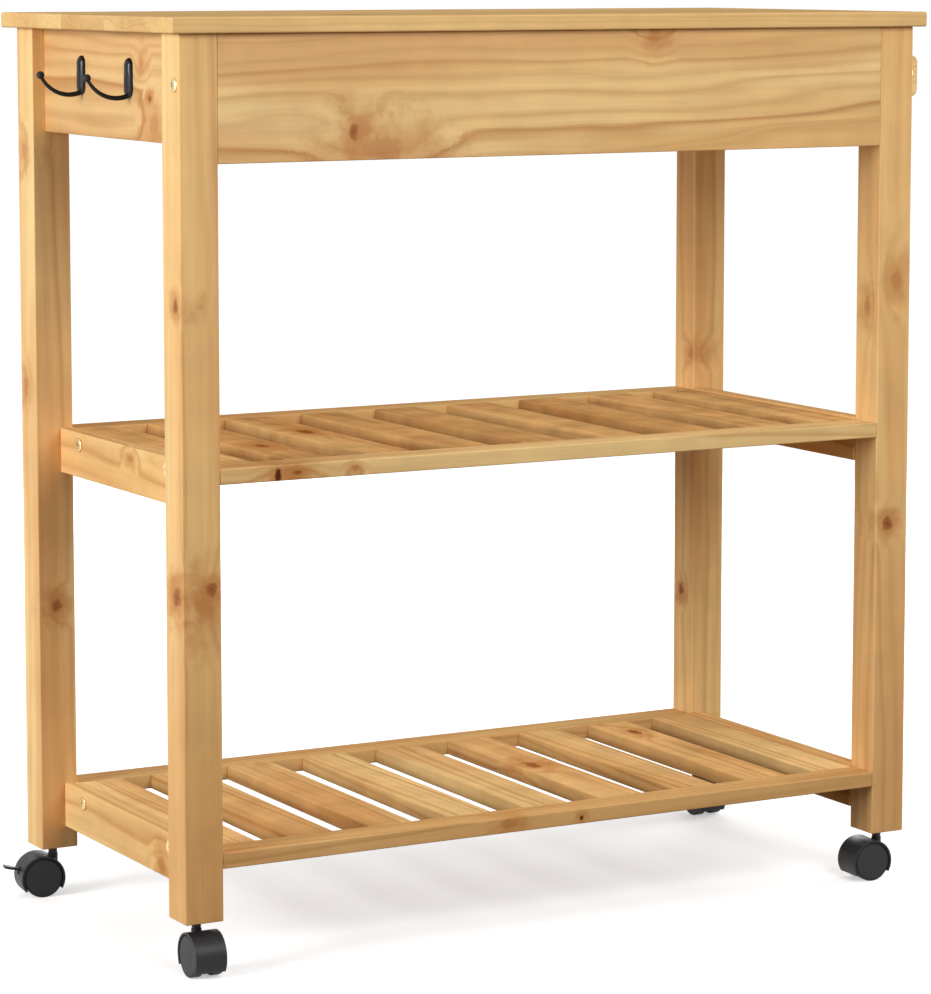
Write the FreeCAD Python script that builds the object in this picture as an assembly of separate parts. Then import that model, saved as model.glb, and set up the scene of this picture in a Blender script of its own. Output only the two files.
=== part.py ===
"""Kitchen island cart in solid pine: a worktop on four legs, two drawers, two slatted shelves,
cloth hooks at one end, a towel rail at the other, and four twin-wheel castors.

Millimetres, +Z up. +X runs along the cart to the towel-rail end, and +Y across it to the drawer
side; the closed apron is on the -Y side. While the pieces are made, x = y = 0 is the middle of the
four legs and z = 0 is the floor. At the end everything is moved so that the origin lies on the
floor under the middle of the cart's overall box.
"""
import FreeCAD, Part

import math
import os

# ---------------------------------------------------------------- driving dimensions
LEG_SPAN_X = 818.0            # over the outer faces of the legs, along the cart
LEG_SPAN_Y = 388.0            # over the outer faces of the legs, across the cart
LEG_SECTION = 39.0            # square section of a leg
LEG_LENGTH = 832.0

TOP_THICKNESS = 15.0
TOP_OVERHANG_END = 11.0
TOP_OVERHANG_BACK = 9.0       # past the closed apron
TOP_OVERHANG_FRONT = 15.0     # past the drawer fronts

APRON_HEIGHT = 120.0
APRON_THICKNESS = 20.0
END_PANEL_HEIGHT = 103.0
END_PANEL_THICKNESS = 15.0
END_PANEL_RECESS = 13.0       # behind the end faces of the legs

SHELF_LEVELS = {"lower_shelf": 50.0, "middle_shelf": 414.0}   # underside, above the legs' feet
SHELF_THICKNESS = 15.0
SHELF_RAIL_WIDTH = 35.0
SHELF_END_HEIGHT = 45.0
SHELF_END_THICKNESS = 15.0
SHELF_END_LAP = 1.5           # the end rails' inner faces stand in past the legs by this
SHELF_END_LIP = 2.0           # the end rails stand this much above the slats
SLAT_WIDTH = 49.0
FREE_SLATS = 7                # besides one slat against each end rail
SLAT_END_GAP = 33.4           # between an end slat and the free slat next to it

DRAWER_RAIL_THICKNESS = 15.0  # the rail and runners that carry the drawers
DIVIDER_THICKNESS = 15.0
CENTRE_RUNNER_WIDTH = 51.0
END_RUNNER_LEDGE = 22.0       # how far the end runners reach in past the legs

DRAWER_GAP = 1.5              # round a drawer front
DRAWER_LIFT = 0.5             # play between a drawer box and its runners
DRAWER_SIDE_INSET = 8.0       # box side, in from the edge of the front
DRAWER_FRONT_THICKNESS = 15.0
DRAWER_FRONT_RECESS = 2.0     # behind the outer faces of the legs
DRAWER_SIDE_THICKNESS = 12.0
DRAWER_SIDE_HEIGHT = 66.0
DRAWER_REAR_GAP = 26.0        # between a closed drawer and the apron
DRAWER_BOTTOM_THICKNESS = 4.0
DRAWER_BOTTOM_RAISE = 6.0     # above the lower edge of the box sides
DRAWER_GROOVE_DEPTH = 5.0
KNOB_DIAMETER = 28.0
KNOB_FACE_DIAMETER = 17.0     # the flat at the front
KNOB_NECK_DIAMETER = 13.0
KNOB_FOOT_DIAMETER = 15.6     # against the drawer front
KNOB_FOOT_HEIGHT = 3.6
KNOB_NECK_END = 9.6           # where the neck starts to widen
KNOB_RIM_START = 14.4
KNOB_RIM_END = 18.8
KNOB_REACH = 24.0
KNOB_ROUNDING = 2.0
KNOB_DOWEL_DIAMETER = 8.0

HOOK_SPREAD = 113.5           # between the two hooks
HOOK_OFFSET = 2.7             # of the pair, towards the drawer side
HOOK_PLATE_HEIGHT = 38.0
HOOK_PLATE_WIDTH = 15.5
HOOK_PLATE_DOME = 5.0
HOOK_PLATE_DROP = 25.0        # from the worktop's underside to the top of the plate
HOOK_ROD_DIAMETER = 5.0
HOOK_TIP_DIAMETER = 3.4       # the arm tapers towards its ball
HOOK_CURVE_RADIUS = 33.3      # centre line of the arm
HOOK_LOW_POINT_REACH = 13.6   # the arm's lowest point, out from the end panel
HOOK_TIP_REACH = 43.8         # centre of the ball, out from the end panel
HOOK_BALL_DIAMETER = 7.8

TOWEL_BRACKET_REACH = 49.4    # out from the end panel
TOWEL_BRACKET_HEIGHT = 42.5
TOWEL_BRACKET_THICKNESS = 18.0
TOWEL_BRACKET_CORNER = 8.0
TOWEL_BRACKET_INSET = 4.0     # in from the legs' inner faces
TOWEL_BAR_DIAMETER = 18.0
TOWEL_BAR_SOCKET = 10.0       # how deep the bar sits in each bracket

BOLT_HEAD_DIAMETER = 14.0
BOLT_HEAD_THICKNESS = 2.4
BOLT_SHANK_DIAMETER = 6.0
BOLT_HEX_SIZE = 4.0
BOLT_HEX_DEPTH = 1.6
SHELF_BOLT_SPACING = 212.0    # between the two bolts of an end rail
SHELF_BOLT_HEIGHT = 5.5       # above the underside of the slats
SHELF_BOLT_GRIP = 45.0
APRON_BOLT_DROP = 47.0        # below the worktop
APRON_BOLT_BITE = 30.0        # into the end of the apron

WHEEL_DIAMETER = 40.0
WHEEL_WIDTH = 10.0
WHEEL_EDGE_RADIUS = 1.2
HOOD_CLEARANCE = 0.6          # hood inside to tread
HOOD_WALL = 2.2
HOOD_OVERHANG = 0.4           # past the outer face of each wheel
HOOD_FRONT_ANGLE = -31.0      # where the hood ends, from straight ahead, over the top ...
HOOD_REAR_ANGLE = 216.0       # ... to behind the wheels
WEB_WIDTH = 10.0              # between the two wheels
WHEEL_SIDE_GAP = 0.4
CASTOR_TRAIL = 14.0           # stem axis to axle
STEM_COLLAR_DIAMETER = 9.0
STEM_COLLAR_LENGTH = 8.2      # between the castor and the leg
STEM_PIN_DIAMETER = 8.0       # in the leg
STEM_PIN_LENGTH = 35.0
SWIVEL_PIN_DIAMETER = 5.0     # in the castor
SWIVEL_PIN_LENGTH = 15.0
BOSS_DROP = 0.3               # boss, below the top of the hood
AXLE_DIAMETER = 4.0
AXLE_COVER = 1.6              # of wheel over each end of the axle
RUNNING_CLEARANCE = 0.05      # radial, round pins that turn
END_PLAY = 0.3                # along pins that turn

LEVER_PIVOT_BACK = 12.0       # behind the axle
LEVER_PIVOT_UP = 5.5          # above the axle
LEVER_PIN_DIAMETER = 3.0
LEVER_ARM_WIDTH = 4.0
LEVER_THICKNESS = 2.6
LEVER_SIDE_GAP = 0.3
LEVER_PEDAL_GAP = 6.5         # behind the hood
LEVER_PEDAL_LENGTH = 9.0
LEVER_PEDAL_WIDTH = 9.0
LEVER_RISE = 15.0             # degrees that it slopes up towards the pedal at rest
LEVER_TRAVEL = 15.0           # degrees, pressed down

EASED_EDGE = 1.2              # small round on sawn and planed edges
TOP_EDGE = 2.0

# Which way each castor trails at rest, in degrees from +X, and whether it has a brake.
CASTORS = {
    "back_hook_end": {"trail": -92.0, "brake": False},
    "back_rail_end": {"trail": 178.0, "brake": False},
    "front_hook_end": {"trail": 173.0, "brake": True},
    "front_rail_end": {"trail": -90.0, "brake": True},
}

# ---------------------------------------------------------------- places worked out from them
AXLE_Z = WHEEL_DIAMETER / 2
HOOD_RADIUS = WHEEL_DIAMETER / 2 + HOOD_CLEARANCE + HOOD_WALL
BOSS_TOP = AXLE_Z + HOOD_RADIUS - BOSS_DROP
BOSS_DIAMETER = WEB_WIDTH
WHEEL_FACE = WEB_WIDTH / 2 + WHEEL_SIDE_GAP + WHEEL_WIDTH   # outer face, from the castor's middle
HOOD_WIDTH = 2 * (WHEEL_FACE + HOOD_OVERHANG)
AXLE_LENGTH = 2 * (WHEEL_FACE - AXLE_COVER)
LEVER_REACH = HOOD_RADIUS - LEVER_PIVOT_BACK + LEVER_PEDAL_GAP + LEVER_PEDAL_LENGTH
CASTOR_HEIGHT = BOSS_TOP + END_PLAY + STEM_COLLAR_LENGTH    # floor to the underside of a leg

LEG_X = LEG_SPAN_X / 2                      # outer face of a leg
LEG_Y = LEG_SPAN_Y / 2
INNER_X = LEG_X - LEG_SECTION               # inner face of a leg
INNER_Y = LEG_Y - LEG_SECTION
FOOT_Z = CASTOR_HEIGHT
UNDER_TOP_Z = FOOT_Z + LEG_LENGTH
PANEL_X = LEG_X - END_PANEL_RECESS          # outer face of an end panel
PANEL_IN_X = PANEL_X - END_PANEL_THICKNESS
PANEL_LOW_Z = UNDER_TOP_Z - END_PANEL_HEIGHT
APRON_IN_Y = -LEG_Y + APRON_THICKNESS
SHELF_END_IN_X = INNER_X - SHELF_END_LAP    # inner face of a shelf's end rail
SHELF_END_X = SHELF_END_IN_X + SHELF_END_THICKNESS
RUNNER_TOP_Z = PANEL_LOW_Z + DRAWER_RAIL_THICKNESS
SLAT_SPACE = 2 * (SHELF_END_IN_X - SLAT_WIDTH - SLAT_END_GAP)   # that the free slats share
SLAT_GAP = (SLAT_SPACE - FREE_SLATS * SLAT_WIDTH) / (FREE_SLATS - 1)
DRAWER_FACE_Y = LEG_Y - DRAWER_FRONT_RECESS
DRAWER_INSIDE_Y = DRAWER_FACE_Y - DRAWER_FRONT_THICKNESS    # inner face of a drawer front
DRAWER_REAR_Y = APRON_IN_Y + DRAWER_REAR_GAP
ENDS = {"hook": -1, "rail": 1}              # the two ends of the cart, along X
SIDES = {"back": -1, "front": 1}            # the closed side and the drawer side, along Y

V = FreeCAD.Vector
pieces = {}


# ---------------------------------------------------------------- small helpers
def block(x, y, z):
    """A box between the two limits given for each axis, in either order."""
    low = [min(pair) for pair in (x, y, z)]
    high = [max(pair) for pair in (x, y, z)]
    return Part.makeBox(high[0] - low[0], high[1] - low[1], high[2] - low[2], V(*low))


def board(x, y, z, edge=EASED_EDGE):
    """A planed board: a box with all its edges eased."""
    solid = block(x, y, z)
    return solid.makeFillet(edge, solid.Edges)


def rod(diameter, length, start, direction):
    return Part.makeCylinder(diameter / 2, length, start, direction)


def turned(profile):
    """A solid of revolution about Z from (radius, height) points that start and end on the axis."""
    wire = Part.makePolygon([V(r, 0, z) for r, z in profile + profile[:1]])
    return Part.Face(wire).revolve(V(0, 0, 0), V(0, 0, 1), 360)


def aim(shape, start, direction):
    """Turn a shape that stands on the origin along Z to stand on start along direction."""
    shape.Placement = FreeCAD.Placement(V(*start), FreeCAD.Rotation(V(0, 0, 1), direction))
    return shape


def group(solids):
    """Separate solids that share one node."""
    return Part.makeCompound(solids)


# ---------------------------------------------------------------- bolts
def bolt(start, direction, length):
    """A flat-headed furniture bolt with a hexagon socket; start is under the head."""
    head = Part.makeCylinder(BOLT_HEAD_DIAMETER / 2, BOLT_HEAD_THICKNESS)
    rim = [edge for edge in head.Edges if edge.BoundBox.ZMin > BOLT_HEAD_THICKNESS / 2
           and edge.BoundBox.ZLength < BOLT_HEAD_THICKNESS / 2]
    head = head.makeFillet(BOLT_HEAD_THICKNESS / 3, rim)
    corners = [V(BOLT_HEX_SIZE / math.sqrt(3) * math.cos(k * math.pi / 3),
                 BOLT_HEX_SIZE / math.sqrt(3) * math.sin(k * math.pi / 3),
                 BOLT_HEAD_THICKNESS - BOLT_HEX_DEPTH) for k in range(7)]
    socket = Part.Face(Part.makePolygon(corners)).extrude(V(0, 0, BOLT_HEX_DEPTH))
    shank = Part.makeCylinder(BOLT_SHANK_DIAMETER / 2, length, V(0, 0, 0), V(0, 0, -1))
    return aim(head.fuse(shank).cut(socket).removeSplitter(), start, -direction)


def shelf_bolts(level):
    """The bolts through both end rails of one shelf into its end slats."""
    z = FOOT_Z + level + SHELF_BOLT_HEIGHT
    return [bolt((end * SHELF_END_X, side * SHELF_BOLT_SPACING / 2, z), V(-end, 0, 0),
                 SHELF_BOLT_GRIP)
            for end in ENDS.values() for side in SIDES.values()]


def apron_bolts():
    """One bolt through each leg of the closed side into the end of the apron."""
    y = (APRON_IN_Y - LEG_Y) / 2
    z = UNDER_TOP_Z - APRON_BOLT_DROP
    return [bolt((end * LEG_X, y, z), V(-end, 0, 0), LEG_SECTION + APRON_BOLT_BITE)
            for end in ENDS.values()]


bolts = apron_bolts()
for shelf_level in SHELF_LEVELS.values():
    bolts += shelf_bolts(shelf_level)


def bored(shape):
    """A wooden piece with the holes of the bolts that pass through or end in it."""
    for one in bolts:
        if shape.BoundBox.intersect(one.BoundBox):
            shape = shape.cut(one)
    return shape


# ---------------------------------------------------------------- top frame
def stem_centre(side, end):
    return end * (LEG_X - LEG_SECTION / 2), side * (LEG_Y - LEG_SECTION / 2)


def leg(side, end):
    """A square leg with the hole for its castor stem."""
    solid = board((end * INNER_X, end * LEG_X), (side * INNER_Y, side * LEG_Y),
                  (FOOT_Z, UNDER_TOP_Z))
    x, y = stem_centre(side, end)
    hole = rod(STEM_PIN_DIAMETER, STEM_PIN_LENGTH, V(x, y, FOOT_Z), V(0, 0, 1))
    return bored(solid.cut(hole))


pieces["top_board"] = board(
    (-LEG_X - TOP_OVERHANG_END, LEG_X + TOP_OVERHANG_END),
    (-LEG_Y - TOP_OVERHANG_BACK, LEG_Y + TOP_OVERHANG_FRONT),
    (UNDER_TOP_Z, UNDER_TOP_Z + TOP_THICKNESS), TOP_EDGE)

for side_name, side in SIDES.items():
    for end_name, end in ENDS.items():
        pieces[f"{side_name}_leg_{end_name}_end"] = leg(side, end)

pieces["back_apron"] = bored(board(
    (-INNER_X, INNER_X), (-LEG_Y, APRON_IN_Y), (UNDER_TOP_Z - APRON_HEIGHT, UNDER_TOP_Z)))

for end_name, end in ENDS.items():
    pieces[f"end_panel_{end_name}_end"] = board(
        (end * PANEL_IN_X, end * PANEL_X), (-INNER_Y, INNER_Y), (PANEL_LOW_Z, UNDER_TOP_Z))
    pieces[f"drawer_runner_{end_name}_end"] = board(
        (end * (INNER_X - END_RUNNER_LEDGE), end * PANEL_IN_X), (-INNER_Y, INNER_Y),
        (PANEL_LOW_Z, RUNNER_TOP_Z))

pieces["drawer_rail"] = board((-INNER_X, INNER_X), (INNER_Y, LEG_Y), (PANEL_LOW_Z, RUNNER_TOP_Z))
pieces["centre_runner"] = board(
    (-CENTRE_RUNNER_WIDTH / 2, CENTRE_RUNNER_WIDTH / 2), (APRON_IN_Y, INNER_Y),
    (PANEL_LOW_Z, RUNNER_TOP_Z))
pieces["drawer_divider"] = board(
    (-DIVIDER_THICKNESS / 2, DIVIDER_THICKNESS / 2), (APRON_IN_Y, DRAWER_FACE_Y),
    (RUNNER_TOP_Z, UNDER_TOP_Z))


# ---------------------------------------------------------------- drawers
def knob(x, y, z):
    """A turned wooden knob that faces +Y, with the dowel that holds it in the drawer front."""
    neck = KNOB_NECK_DIAMETER / 2
    rim = KNOB_DIAMETER / 2
    head = turned([(0, 0), (KNOB_FOOT_DIAMETER / 2, 0), (neck, KNOB_FOOT_HEIGHT),
                   (neck, KNOB_NECK_END), (rim, KNOB_RIM_START), (rim, KNOB_RIM_END),
                   (KNOB_FACE_DIAMETER / 2, KNOB_REACH), (0, KNOB_REACH)])
    rims = [edge for edge in head.Edges if edge.BoundBox.ZLength < KNOB_ROUNDING
            and edge.BoundBox.ZMin > KNOB_NECK_END + KNOB_ROUNDING]
    head = head.makeFillet(KNOB_ROUNDING, rims)
    dowel = Part.makeCylinder(KNOB_DOWEL_DIAMETER / 2, DRAWER_FRONT_THICKNESS, V(0, 0, 0),
                              V(0, 0, -1))
    return aim(head.fuse(dowel), (x, y, z), V(0, 1, 0))


def drawer(name, end):
    """The pieces of one drawer, closed in its bay."""
    bay_in = DIVIDER_THICKNESS / 2
    centre = end * (bay_in + INNER_X) / 2
    half = (INNER_X - bay_in) / 2 - DRAWER_GAP
    outer = half - DRAWER_SIDE_INSET
    inner = outer - DRAWER_SIDE_THICKNESS
    inside_y = DRAWER_INSIDE_Y
    rear_y = DRAWER_REAR_Y
    front_z = (RUNNER_TOP_Z + DRAWER_GAP, UNDER_TOP_Z - DRAWER_GAP)
    box_z = (RUNNER_TOP_Z + DRAWER_LIFT, RUNNER_TOP_Z + DRAWER_LIFT + DRAWER_SIDE_HEIGHT)
    floor_z = box_z[0] + DRAWER_BOTTOM_RAISE

    bottom = block((centre - inner - DRAWER_GROOVE_DEPTH, centre + inner + DRAWER_GROOVE_DEPTH),
                   (rear_y + DRAWER_SIDE_THICKNESS - DRAWER_GROOVE_DEPTH,
                    inside_y + DRAWER_GROOVE_DEPTH),
                   (floor_z, floor_z + DRAWER_BOTTOM_THICKNESS))
    handle = knob(centre, DRAWER_FACE_Y, sum(front_z) / 2)
    front = board((centre - half, centre + half), (inside_y, DRAWER_FACE_Y), front_z)
    pieces[f"{name}_front"] = front.cut(bottom).cut(handle)
    for label, way in (("outer_side", end), ("inner_side", -end)):
        side = board((centre + way * inner, centre + way * outer), (rear_y, inside_y), box_z)
        pieces[f"{name}_{label}"] = side.cut(bottom)
    rear = board((centre - inner, centre + inner), (rear_y, rear_y + DRAWER_SIDE_THICKNESS), box_z)
    pieces[f"{name}_back"] = rear.cut(bottom)
    pieces[f"{name}_bottom"] = bottom
    pieces[f"{name}_knob"] = handle


for end_name, end in ENDS.items():
    drawer(f"{end_name}_end_drawer", end)


# ---------------------------------------------------------------- slatted shelves
def shelf(name, level):
    """Two flat long rails, two upright end rails, and slats across between the long rails."""
    low = FOOT_Z + level
    high = low + SHELF_THICKNESS
    rail_in = LEG_Y - SHELF_RAIL_WIDTH
    for side_name, side in SIDES.items():
        pieces[f"{name}_{side_name}_rail"] = board(
            (-INNER_X, INNER_X), (side * rail_in, side * LEG_Y), (low, high))
    end_high = high + SHELF_END_LIP
    for end_name, end in ENDS.items():
        rail = board((end * SHELF_END_IN_X, end * SHELF_END_X), (-INNER_Y, INNER_Y),
                     (end_high - SHELF_END_HEIGHT, end_high))
        for side_name in SIDES:
            rail = rail.cut(pieces[f"{name}_{side_name}_rail"])
        pieces[f"{name}_end_rail_{end_name}_end"] = bored(rail)
    pitch = SLAT_WIDTH + SLAT_GAP
    middles = [(k - (FREE_SLATS - 1) / 2) * pitch for k in range(FREE_SLATS)]
    outermost = SHELF_END_IN_X - SLAT_WIDTH / 2
    slats = [board((x - SLAT_WIDTH / 2, x + SLAT_WIDTH / 2), (-rail_in, rail_in), (low, high))
             for x in [-outermost] + middles + [outermost]]
    pieces[f"{name}_slats"] = group([bored(slat) for slat in slats])


for shelf_name, shelf_level in SHELF_LEVELS.items():
    shelf(shelf_name, shelf_level)


# ---------------------------------------------------------------- hooks and towel rail
def hook(y):
    """A domed back plate and a curved arm with a ball at its tip, at the hook end."""
    top = UNDER_TOP_Z - HOOK_PLATE_DROP
    middle = top - HOOK_PLATE_HEIGHT / 2
    bulge = HOOK_PLATE_WIDTH / 2
    straight = HOOK_PLATE_HEIGHT / 2 - bulge
    capsule = Part.makeCylinder(bulge, 2 * straight, V(0, 0, -straight)).fuse(
        [Part.makeSphere(bulge, V(0, 0, straight)), Part.makeSphere(bulge, V(0, 0, -straight))])
    flatten = FreeCAD.Matrix()
    flatten.scale(HOOK_PLATE_DOME / bulge, 1.0, 1.0)
    plate = capsule.removeSplitter().transformGeometry(flatten)
    plate = plate.cut(block((0, 2 * HOOK_PLATE_DOME), (-HOOK_PLATE_WIDTH, HOOK_PLATE_WIDTH),
                            (-HOOK_PLATE_HEIGHT, HOOK_PLATE_HEIGHT)))
    plate.translate(V(-PANEL_X, y, middle))

    centre = V(-PANEL_X - HOOK_LOW_POINT_REACH, y,
               top - HOOK_PLATE_HEIGHT + HOOK_CURVE_RADIUS)

    def on_arm(reach):
        out = reach - HOOK_LOW_POINT_REACH
        down = math.sqrt(HOOK_CURVE_RADIUS ** 2 - out ** 2)
        return centre + V(-out, 0, -down)

    tip = on_arm(HOOK_TIP_REACH)
    root = on_arm(HOOK_ROD_DIAMETER / 4)
    path = Part.Wire(Part.Arc(root, on_arm(HOOK_LOW_POINT_REACH), tip).toShape())
    sections = [Part.Wire(Part.makeCircle(width / 2, spot, (spot - centre).cross(V(0, 1, 0))))
                for width, spot in ((HOOK_ROD_DIAMETER, root), (HOOK_TIP_DIAMETER, tip))]
    arm = path.makePipeShell(sections, True, False)
    ball = Part.makeSphere(HOOK_BALL_DIAMETER / 2, tip, V(0, 1, 0))
    return plate.fuse([arm, ball])


def towel_bracket(side, bar):
    """A wooden bracket with rounded outer corners and a blind socket for the bar."""
    outer = INNER_Y - TOWEL_BRACKET_INSET
    middle = (PANEL_LOW_Z + UNDER_TOP_Z) / 2
    solid = block((PANEL_X, PANEL_X + TOWEL_BRACKET_REACH),
                  (side * (outer - TOWEL_BRACKET_THICKNESS), side * outer),
                  (middle - TOWEL_BRACKET_HEIGHT / 2, middle + TOWEL_BRACKET_HEIGHT / 2))
    corners = [edge for edge in solid.Edges if edge.BoundBox.XLength < EASED_EDGE
               and edge.BoundBox.ZLength < EASED_EDGE and edge.BoundBox.XMin > PANEL_X + EASED_EDGE]
    solid = solid.makeFillet(TOWEL_BRACKET_CORNER, corners)
    return solid.cut(bar)


hook_rows = {side_name: HOOK_OFFSET + side * HOOK_SPREAD / 2 for side_name, side in SIDES.items()}
for side_name, row in hook_rows.items():
    pieces[f"cloth_hook_{side_name}"] = hook(row)

bar_end = INNER_Y - TOWEL_BRACKET_INSET - TOWEL_BRACKET_THICKNESS + TOWEL_BAR_SOCKET
towel_bar = rod(TOWEL_BAR_DIAMETER, 2 * bar_end,
                V(PANEL_X + TOWEL_BRACKET_REACH - TOWEL_BRACKET_HEIGHT / 2, -bar_end,
                  (PANEL_LOW_Z + UNDER_TOP_Z) / 2), V(0, 1, 0))
pieces["towel_bar"] = towel_bar
for side_name, side in SIDES.items():
    pieces[f"towel_bracket_{side_name}"] = towel_bracket(side, towel_bar)

pieces["bolts"] = group(bolts)


# ---------------------------------------------------------------- castors
# A castor is made with its axle's middle at x = y = 0, its stem ahead of it on +X, and its wheels
# turning about Y. Then it is turned to trail the way CASTORS says and set under its leg.
def polar(radius, degrees):
    angle = math.radians(degrees)
    return V(radius * math.cos(angle), 0, AXLE_Z + radius * math.sin(angle))


def arc_edge(radius, start, end):
    return Part.Arc(polar(radius, start), polar(radius, (start + end) / 2), polar(radius, end)).toShape()


def slab(edges, width):
    """A flat outline in the XZ plane made into a plate of that width about y = 0."""
    plate = Part.Face(Part.Wire(edges)).extrude(V(0, width, 0))
    plate.translate(V(0, -width / 2, 0))
    return plate


def hood_shell():
    """The curved cover over both treads."""
    outer = HOOD_RADIUS
    inner = outer - HOOD_WALL
    start, end = HOOD_FRONT_ANGLE, HOOD_REAR_ANGLE
    return slab([arc_edge(outer, start, end), Part.makeLine(polar(outer, end), polar(inner, end)),
                 arc_edge(inner, end, start), Part.makeLine(polar(inner, start), polar(outer, start))],
                HOOD_WIDTH)


def hood_web():
    """The plate between the wheels, with the boss that takes the swivel pin."""
    radius = HOOD_RADIUS - HOOD_WALL / 2
    start, end = HOOD_FRONT_ANGLE, HOOD_REAR_ANGLE
    plate = slab([arc_edge(radius, start, end), Part.makeLine(polar(radius, end), polar(radius, start))],
                 WEB_WIDTH)
    boss = Part.makeCylinder(BOSS_DIAMETER / 2, BOSS_TOP - AXLE_Z, V(CASTOR_TRAIL, 0, AXLE_Z))
    return plate.fuse(boss)


def lever(clearance=0.0, angle=0.0):
    """The brake lever, pressed down by angle; with a clearance, the space that it needs."""
    x, z = -LEVER_PIVOT_BACK, AXLE_Z + LEVER_PIVOT_UP
    pin_length = WEB_WIDTH - 2 * LEVER_SIDE_GAP
    pin = Part.makeCylinder(LEVER_PIN_DIAMETER / 2, pin_length, V(x, -pin_length / 2, z), V(0, 1, 0))
    half = LEVER_THICKNESS / 2 + clearance
    width = LEVER_ARM_WIDTH / 2 + clearance
    arm = block((x - LEVER_REACH, x + half), (-width, width), (z - half, z + half))
    pedal = block((x - LEVER_REACH, x - LEVER_REACH + LEVER_PEDAL_LENGTH),
                  (-LEVER_PEDAL_WIDTH / 2, LEVER_PEDAL_WIDTH / 2), (z - half, z + half))
    if clearance:
        solid = arm
    else:
        long_edges = [edge for edge in pedal.Edges if edge.BoundBox.YLength > LEVER_PEDAL_WIDTH / 2]
        solid = pedal.makeFillet(LEVER_THICKNESS / 3, long_edges).fuse([arm, pin]).removeSplitter()
    solid.rotate(V(x, 0, z), V(0, 1, 0), LEVER_RISE - angle)
    return solid


def castor_body(brake):
    """Hood, web and boss in one moulding, bored for the axle, swivel pin and lever."""
    body = hood_shell().fuse(hood_web()).removeSplitter()
    swivel = rod(SWIVEL_PIN_DIAMETER + 2 * RUNNING_CLEARANCE, SWIVEL_PIN_LENGTH + END_PLAY,
                 V(CASTOR_TRAIL, 0, BOSS_TOP), V(0, 0, -1))
    axle = rod(AXLE_DIAMETER, WEB_WIDTH, V(0, -WEB_WIDTH / 2, AXLE_Z), V(0, 1, 0))
    body = body.cut(swivel).cut(axle)
    if brake:
        pivot = V(-LEVER_PIVOT_BACK, -WEB_WIDTH, AXLE_Z + LEVER_PIVOT_UP)
        body = body.cut(rod(LEVER_PIN_DIAMETER + 2 * RUNNING_CLEARANCE, 2 * WEB_WIDTH, pivot,
                            V(0, 1, 0)))
        for turn in (-0.5, 0.0, 0.5, 1.0, 1.5):
            body = body.cut(lever(LEVER_SIDE_GAP, turn * LEVER_TRAVEL))
    return body


def wheel(way):
    """One wheel, open to the axle on its inner face and closed on its outer face."""
    inner = WEB_WIDTH / 2 + WHEEL_SIDE_GAP
    solid = rod(WHEEL_DIAMETER, WHEEL_WIDTH, V(0, way * inner, AXLE_Z), V(0, way, 0))
    rims = [edge for edge in solid.Edges if edge.BoundBox.YLength < WHEEL_WIDTH / 2]
    solid = solid.makeFillet(WHEEL_EDGE_RADIUS, rims)
    bore = rod(AXLE_DIAMETER + 2 * RUNNING_CLEARANCE, AXLE_LENGTH / 2 + END_PLAY, V(0, 0, AXLE_Z),
               V(0, way, 0))
    return solid.cut(bore)


def stem():
    """A steel stem: a pin in the leg, a collar below it and a pin that the castor turns on."""
    collar_low = BOSS_TOP + END_PLAY
    pin = rod(STEM_PIN_DIAMETER, STEM_PIN_LENGTH, V(CASTOR_TRAIL, 0, FOOT_Z), V(0, 0, 1))
    collar = rod(STEM_COLLAR_DIAMETER, FOOT_Z - collar_low, V(CASTOR_TRAIL, 0, collar_low), V(0, 0, 1))
    swivel = rod(SWIVEL_PIN_DIAMETER, SWIVEL_PIN_LENGTH, V(CASTOR_TRAIL, 0, collar_low), V(0, 0, -1))
    return pin.fuse([collar, swivel])


def under_leg(shape, side, end, trail):
    """Turn a castor piece to trail that way and set its stem under the leg."""
    shape.translate(V(-CASTOR_TRAIL, 0, 0))
    shape.rotate(V(0, 0, 0), V(0, 0, 1), trail - 180)
    x, y = stem_centre(side, end)
    shape.translate(V(x, y, 0))
    return shape


stems = []
for side_name, side in SIDES.items():
    for end_name, end in ENDS.items():
        name = f"{side_name}_{end_name}_end"
        trail = CASTORS[name]["trail"]
        brake = CASTORS[name]["brake"]
        parts = {
            "body": castor_body(brake),
            "axle": rod(AXLE_DIAMETER, AXLE_LENGTH, V(0, -AXLE_LENGTH / 2, AXLE_Z), V(0, 1, 0)),
            "wheel_a": wheel(-1),
            "wheel_b": wheel(1),
        }
        if brake:
            parts["brake_lever"] = lever()
        for label, shape in parts.items():
            pieces[f"castor_{name}_{label}"] = under_leg(shape, side, end, trail)
        stems.append(under_leg(stem(), side, end, trail))
pieces["castor_stems"] = group(stems)

# ---------------------------------------------------------------- origin and export
overall = Part.makeCompound(list(pieces.values())).optimalBoundingBox()
to_origin = V(-overall.Center.x, -overall.Center.y, 0)
print("overall size", [round(v, 2) for v in (overall.XLength, overall.YLength, overall.ZLength)])
print("the middle of the legs lies at", [round(v, 3) for v in to_origin])

os.makedirs("parts", exist_ok=True)
for name, shape in pieces.items():
    shape = shape.copy()
    shape.translate(to_origin)
    shape.exportStep(f"parts/{name}.step")
print(len(pieces), "nodes written")
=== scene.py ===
# %% [markdown]
# # A pine kitchen cart on castors
#
# The cart is square pine legs under a thin worktop, with two slatted shelves, two drawers,
# cloth hooks at one end and a towel rail at the other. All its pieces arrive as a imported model
# with their real sizes, so the lesson is about the surfaces: lacquered pine with its grain and
# knots, moulded black plastic, black iron and yellow-plated bolts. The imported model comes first,
# because every place in the scene is worked out from it.

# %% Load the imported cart
import math
import random

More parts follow.
